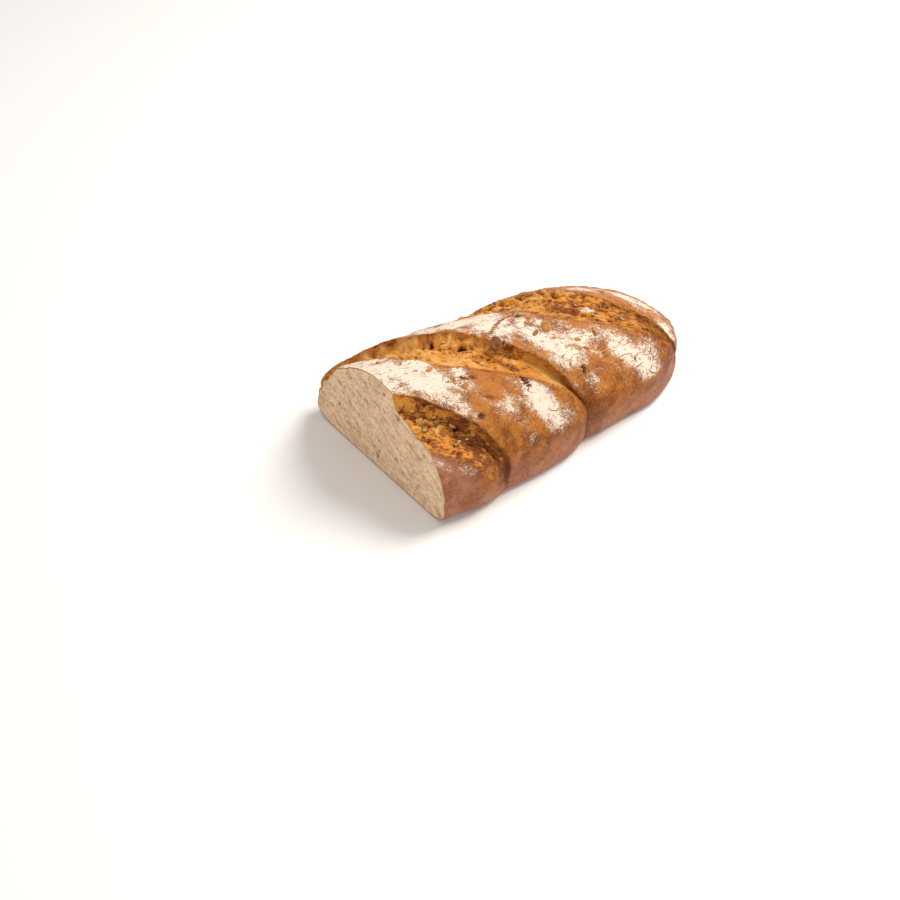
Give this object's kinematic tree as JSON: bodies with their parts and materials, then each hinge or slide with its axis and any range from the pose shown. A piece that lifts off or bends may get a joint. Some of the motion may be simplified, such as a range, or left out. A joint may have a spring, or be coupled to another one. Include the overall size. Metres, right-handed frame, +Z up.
{
  "type": "walnut bread",
  "caption": "Long crusty loaf with one end sliced off square, oblique slashes torn open across its domed top, and a flat base.",
  "frame": {"origin": "under the middle of the loaf, on the surface it rests on: the centre of the bottom of its bounding box", "axes": "+X along the loaf from its cut face to its round end, -Y the front side that the picture shows, +Z up"},
  "size_m": [0.24, 0.144, 0.074],
  "materials": {
    "crust": "Baked bread crust, golden brown and dusted with white flour, darker and rough where the slashes tore open; the sliced end shows pale beige crumb."
  },
  "bodies": {
    "root": {"loaf": "crust"}
  },
  "joints": []
}
